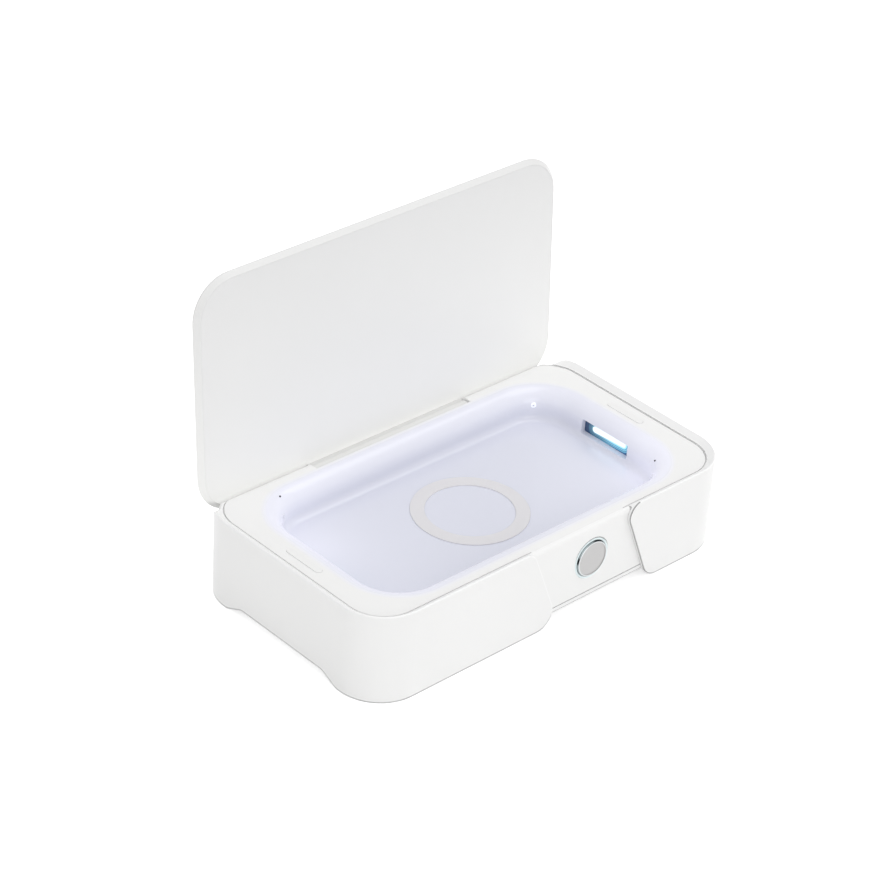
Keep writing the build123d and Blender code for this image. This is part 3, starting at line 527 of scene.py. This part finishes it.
def glowing_pane():
    """Quartz over the lamp, with the lit tube's image painted on it as emission. The tube shows as
    a white bar with cyan and dark bands round it: tones by the distance from the bar's middle line,
    which slants a little, and all but the bar fades towards the back end."""
    made, tree, shader = material(
        "quartz_pane", Base_Color=PANE_BLUE, Roughness=0.05, Transmission_Weight=0.3,
        Emission_Strength=1.0,
    )
    axes = axes_of(tree, object_place(tree))
    along = maths(tree, "SUBTRACT", axes["Y"], tub_middle.y + GLOW_MIDDLE)
    past = maths(tree, "SUBTRACT", maths(tree, "ABSOLUTE", along), GLOW_HALF)
    above = maths(tree, "SUBTRACT", axes["Z"], GLOW_LEVEL)
    over = node(tree, "CombineXYZ")
    feed(tree, maths(tree, "MAXIMUM", past, 0.0), over.inputs["X"])
    feed(tree, maths(tree, "MULTIPLY_ADD", along, -GLOW_SLANT, above), over.inputs["Y"])
    length = node(tree, "VectorMath", operation="LENGTH")
    feed(tree, over.outputs[0], length.inputs[0])
    far = length.outputs["Value"]
    tones = node(tree, "ValToRGB")
    ramp = tones.color_ramp
    ramp.elements[0].position, ramp.elements[0].color = GLOW_TONES[0]
    ramp.elements[1].position, ramp.elements[1].color = GLOW_TONES[-1]
    for position, tone in GLOW_TONES[1:-1]:
        ramp.elements.new(position).color = tone
    feed(tree, maths(tree, "MULTIPLY", far, 100.0), tones.inputs["Fac"])
    front = spread(tree, smooth_step(tree, along, *GLOW_FADE), GLOW_LEAST, 1.0)
    level = maths(tree, "MAXIMUM", smooth_step(tree, far, *GLOW_CORE), front)
    light = scaled(tree, tones.outputs["Color"], level)
    feed(tree, light, shader.inputs["Emission Color"])
    return made


finish_nodes(trough_glow(), "lamp_reflector_left", "lamp_reflector_right")
finish_nodes(glowing_pane(), "lamp_pane_left", "lamp_pane_right")
tube, _, _ = material(
    "lit_tube", Base_Color=TUBE_GLASS, Roughness=0.1,
    Emission_Color=TUBE_LIGHT, Emission_Strength=0.2,
)
finish_nodes(tube, "lamp_tube_left", "lamp_tube_right")
dark_cap, _, _ = material("dark_cap", Base_Color=CAP_DARK, Metallic=0.8, Roughness=0.3)
finish_nodes(dark_cap, "lamp_caps_left", "lamp_caps_right")

# ---- Rim pads and charging ring ----
# Soft moulded silicone: two pads pressed into pockets of the rim, which stop the lid, and
# the ring glued to the tray's floor, which keeps a phone from sliding.

SOFT_WHITE = (0.865, 0.865, 0.86, 1)
RING_GREY = (0.725, 0.715, 0.735, 1)
SOFT_GRAIN = 1800.0

soft_white = moulded("soft_white", SOFT_WHITE, roughness=0.55, grain=SOFT_GRAIN)
finish_nodes(soft_white, "rim_pad_left", "rim_pad_right")
soft_ring = moulded("soft_ring", RING_GREY, roughness=0.5, grain=SOFT_GRAIN)
finish_nodes(soft_ring, "charge_ring")

# ---- Charger and boards ----
# Under the tray's floor a flat coil of enamelled copper lies on a ferrite plate, held by a
# moulded bracket. Green glass-fibre boards are screwed to the bottom cover's standoffs.

COIL_COPPER = (0.72, 0.33, 0.15, 1)
DARK_GREY = (0.03, 0.03, 0.03, 1)
BOARD_GREEN = (0.02, 0.16, 0.06, 1)
NICKEL = (0.7, 0.7, 0.7, 1)

copper = moulded("enamelled_copper", COIL_COPPER, roughness=0.3, Metallic=0.9)
finish_nodes(copper, "charging_coil")
finish_nodes(moulded("satin_white", SATIN_WHITE, SATIN_ROUGHNESS), "coil_bracket")
dark_grey = moulded("dark_grey", DARK_GREY, roughness=0.5)
finish_nodes(dark_grey, "ferrite_plate", "tact_switch", "switch_plunger", "lid_sensor")
solder_mask = moulded("solder_mask", BOARD_GREEN, roughness=0.35)
finish_nodes(solder_mask, "main_board", "lamp_driver_board", "switch_board")
nickel, _, _ = material("nickel", Base_Color=NICKEL, Metallic=1.0, Roughness=0.2)
finish_nodes(nickel, "lid_magnet")

# ---- Power button and its light ring ----
# A brushed aluminium cap with a cut lip round its dish and a polished edge slides in a thin
# clear ring, which the diodes on the switch board light pale blue.

BUTTON_MIDDLE = (0.0208, 0.0, 0.0265)
DISH_RADIUS = 0.0086
EDGE_START = 0.00905
DISH_GREY = (0.445, 0.44, 0.44, 1)
LIP_GREY = (0.62, 0.64, 0.65, 1)
POLISHED_EDGE = (0.27, 0.31, 0.32, 1)
EDGE_BLACK = (0.012, 0.016, 0.02, 1)
DARK_REFLECTION_ARCS = (            # middle of a painted dark reflection arc along X and Z, and its reach
    (0.0240, 0.0354, 0.0042),
    (0.0117, 0.0285, 0.0022),
)
BRUSHED_ROUGHNESS = (0.28, 0.48)
BRUSHED_LINES = 3200.0
RING_CLEAR = (0.80, 0.88, 0.89, 1)
RING_BLUE = (0.6, 0.95, 1.0, 1)


def brushed_cap():
    """Aluminium in three rings by the distance from the button's axis: the dish with fine level
    lines, the bright cut lip and the polished edge. The edge turns black in two arcs, above and at
    the left, as a painted dark reflection, each a straight slope over the distance from the arc's
    middle."""
    made, tree, shader = material("brushed_cap", Metallic=0.85)
    place = object_place(tree)
    flat = node(tree, "VectorMath", operation="MULTIPLY")
    feed(tree, place, flat.inputs[0])
    flat.inputs[1].default_value = (1.0, 0.0, 1.0)
    flat = flat.outputs[0]
    gap = distance(tree, flat, BUTTON_MIDDLE)
    black = 0.0
    for arc_x, arc_z, reach in DARK_REFLECTION_ARCS:
        far = distance(tree, flat, (arc_x, 0.0, arc_z))
        black = maths(tree, "ADD", black, slope(tree, far, reach, 0.5 * reach))
    lip = maths(tree, "GREATER_THAN", gap, DISH_RADIUS)
    edge = maths(tree, "GREATER_THAN", gap, EDGE_START)
    colour = mix(tree, lip, DISH_GREY, LIP_GREY)
    colour = mix(tree, edge, colour, mix(tree, black, POLISHED_EDGE, EDGE_BLACK))
    feed(tree, colour, shader.inputs["Base Color"])
    lines = noise(tree, stretched(tree, place, (0.05, 1.0, 1.0)), BRUSHED_LINES, 3.0)
    feed(tree, spread(tree, lines, *BRUSHED_ROUGHNESS), shader.inputs["Roughness"])
    return made


finish_nodes(brushed_cap(), "button_cap")
halo, _, _ = material(
    "halo", Base_Color=RING_CLEAR, Roughness=0.3, Emission_Color=RING_BLUE, Emission_Strength=0.06
)
finish_nodes(halo, "light_ring")

# ---- Side shells ----
# Two thin shells moulded in satin ABS wrap the ends of the case, hooked over its rim by a
# sloping lip, and stop at the front in slanted, rounded arms.

ARM_END = 0.049           # where the slanted end of the right arm lies along X
ARM_REACH = 0.02
END_STRIP = 0.0008        # width of the painted shade line along the arm's end
END_SHADE_GREY = (0.36, 0.36, 0.36, 1)
FACES_LEFT = -0.25        # the line lies on faces whose normal's X is under this
FACES_LEVEL = 0.1         # and whose Y is nearer to zero than this


def shell_white():
    """Edged satin white. A line of painted shade, for the shadow in the gap there, follows the
    slanted end of the right arm: the outermost strip of the faces that are turned to the left, not
    forward, near the arm's end."""
    made = edged_white("shell_white")
    tree = made.node_tree
    normal = axes_of(tree, node(tree, "TexCoord").outputs["Normal"])
    axes = axes_of(tree, object_place(tree))
    shell_low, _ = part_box("side_shell_right")
    near = maths(tree, "ABSOLUTE", maths(tree, "SUBTRACT", axes["X"], ARM_END))
    forward = maths(tree, "ABSOLUTE", normal["Y"])
    shade = maths(tree, "LESS_THAN", near, ARM_REACH)
    for value, limit in (
        (normal["X"], FACES_LEFT), (axes["Y"], shell_low.y + END_STRIP), (forward, FACES_LEVEL)
    ):
        shade = maths(tree, "MULTIPLY", shade, maths(tree, "LESS_THAN", value, limit))
    recolour(made, mix(tree, shade, tree.nodes["edges"].outputs["Colour"], END_SHADE_GREY))
    return made


finish_nodes(shell_white(), "side_shell_left", "side_shell_right")

# ---- Lid ----
# A thin moulded cover with ribs and the hinge's knuckle, closed by a liner in a slightly greyer
# white that is glued flush into its border. Both carry painted light, paler at the hinge and greyer
# at the free edge, and down in the slot the cover gets painted shade and the liner painted light.

LID_ROUGHNESS = 0.34
LID_GREY = (0.935, 0.935, 0.920, 1)      # painted light: at the hinge, and at the free edge
LID_GREY_TOP = (0.775, 0.775, 0.770, 1)
LID_SPAN = (0.04, 0.157)
SLOT_SPAN = (0.0455, 0.0418)   # the foot of the open lid lies in a slot behind the tray
SLOT_DEPTH = (0.0600, 0.0585)   # which reaches back to the lid's inner part
# Painted in the slot: shade on the cover, as a factor on its tone, and light thrown back and forth
# onto the liner, as emission
SLOT_TONE = 0.76
SLOT_LIGHT = 0.09


def lid_plastic(name):
    """A satin white that turns greyer from the lid's hinge up to its free edge, by a straight slope
    in Z: painted light, paler where the case throws light up onto the lid. Gives the material, its
    colour, and a mask that is one down in the slot."""
    made = moulded(name, LID_GREY, LID_ROUGHNESS)
    tree = made.node_tree
    axes = axes_of(tree, object_place(tree))
    colour = mix(tree, slope(tree, axes["Z"], *LID_SPAN), LID_GREY, LID_GREY_TOP)
    low = smooth_step(tree, axes["Z"], *SLOT_SPAN)
    slot = maths(tree, "MULTIPLY", low, smooth_step(tree, axes["Y"], *SLOT_DEPTH))
    return made, colour, slot


def cover_plastic():
    """The lid's white, whose tone falls by a factor down in the slot, as painted shade."""
    made, colour, slot = lid_plastic("lid_grey")
    tree = made.node_tree
    recolour(made, scaled(tree, colour, spread(tree, slot, 1.0, SLOT_TONE)))
    return made


def liner_plastic():
    """The lid's white. The light that the white walls throw back and forth down in the slot is
    painted light, a weak emission by the slot's mask."""
    made, colour, slot = lid_plastic("liner_grey")
    tree = made.node_tree
    recolour(made, colour)
    shader = tree.nodes["Principled BSDF"]
    shader.inputs["Emission Strength"].default_value = 1.0
    light = scaled(tree, (SLOT_LIGHT, SLOT_LIGHT, SLOT_LIGHT), slot)
    feed(tree, light, shader.inputs["Emission Color"])
    return made


finish_nodes(cover_plastic(), "lid_cover")
finish_nodes(liner_plastic(), "lid_liner")

# ---- Table, light and camera ----
# The case stands on a plain white table, in soft studio light from the left, from above and
# from the front. The camera looks down on its left front corner.

TABLE_HALF = 6.0
TABLE_WHITE = (0.86, 0.86, 0.86, 1)
TABLE_SHOWN = 0.60        # what the table adds where it is looked at, up to white
AMBIENT = 0.724
WHITE = (1, 1, 1, 1)
STUDIO_LAMPS = (          # place, what it is aimed at, size and power
    ("key", (-0.3, -1.4, 0.6), (0, 0, 0.05), 0.9, 4.0),
    ("top", (0.6, -0.2, 1.5), (0.05, 0, 0.05), 1.0, 5.8),
    ("left", (-1.5, 0.1, 0.5), (-0.1, 0, 0.03), 0.8, 1.6),
)
CAMERA_TURN = radians(-44.2394)
CAMERA_TILT = radians(32.3097)
CAMERA_ROLL = radians(3.6709)
CAMERA_PLACE = (-0.01396, 0.05964, 1.37063)   # to its right, up and back from the case
LENS_LENGTH = 118.88
LENS_FRAME = 36.0


def seen_rays(tree):
    """One for what the camera sees, also in metal and through glass, and zero for light."""
    rays = node(tree, "LightPath")
    seen = maths(tree, "MAXIMUM", rays.outputs["Is Camera Ray"], rays.outputs["Is Glossy Ray"])
    return maths(tree, "MAXIMUM", seen, rays.outputs["Is Transmission Ray"])


def stage_table():
    """A flat table top that shows pure white where nothing shades it."""
    mesh = bpy.data.meshes.new("table_top")
    corners = [(-1, -1), (1, -1), (1, 1), (-1, 1)]
    points = [(x * TABLE_HALF, y * TABLE_HALF, 0) for x, y in corners]
    mesh.from_pydata(points, [], [(0, 1, 2, 3)])
    top = bpy.data.objects.new("table_top", mesh)
    bpy.context.scene.collection.objects.link(top)
    made, tree, shader = material(
        "table_white", Base_Color=TABLE_WHITE, Roughness=0.9, Emission_Color=WHITE
    )
    strength = maths(tree, "MULTIPLY", seen_rays(tree), TABLE_SHOWN)
    feed(tree, strength, shader.inputs["Emission Strength"])
    mesh.materials.append(made)


def soft_box(name, place, aim, size, power):
    """A square area light at a place, turned to face a point."""
    lamp = bpy.data.lights.new(name, "AREA")
    lamp.shape = "SQUARE"
    lamp.size = size
    lamp.energy = power
    holder = bpy.data.objects.new(name, lamp)
    holder.location = place
    holder.rotation_mode = "QUATERNION"
    holder.rotation_quaternion = (Vector(aim) - Vector(place)).to_track_quat("-Z", "Y")
    bpy.context.scene.collection.objects.link(holder)


def studio_world():
    """Even light all round that shows pure white behind the object."""
    world = bpy.data.worlds.new("studio")
    world.use_nodes = True
    tree = world.node_tree
    sky = tree.nodes["Background"]
    sky.inputs["Color"].default_value = WHITE
    feed(tree, spread(tree, seen_rays(tree), AMBIENT, 1.0), sky.inputs["Strength"])
    bpy.context.scene.world = world


def camera():
    """The camera's turn and tilt about the case, its roll, and its place along its own axes."""
    back = Vector((sin(CAMERA_TURN), -cos(CAMERA_TURN), 0)) * cos(CAMERA_TILT)
    back.z = sin(CAMERA_TILT)
    right = Vector((cos(CAMERA_TURN), sin(CAMERA_TURN), 0))
    up = back.cross(right)
    across = right * cos(CAMERA_ROLL) + up * sin(CAMERA_ROLL)
    above = up * cos(CAMERA_ROLL) - right * sin(CAMERA_ROLL)
    place = across * CAMERA_PLACE[0] + above * CAMERA_PLACE[1] + back * CAMERA_PLACE[2]
    shell_low, shell_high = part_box("side_shell_left")
    place.y += (shell_low.y + shell_high.y) / 2
    lens = bpy.data.cameras.new("camera")
    lens.lens = LENS_LENGTH
    lens.sensor_width = LENS_FRAME
    holder = bpy.data.objects.new("camera", lens)
    axes = Matrix((across, above, back)).transposed()
    holder.matrix_world = Matrix.Translation(place) @ axes.to_4x4()
    bpy.context.scene.collection.objects.link(holder)
    bpy.context.scene.camera = holder


stage_table()
studio_world()
for studio_lamp in STUDIO_LAMPS:
    soft_box(*studio_lamp)
camera()
bpy.context.scene.view_settings.view_transform = "Standard"
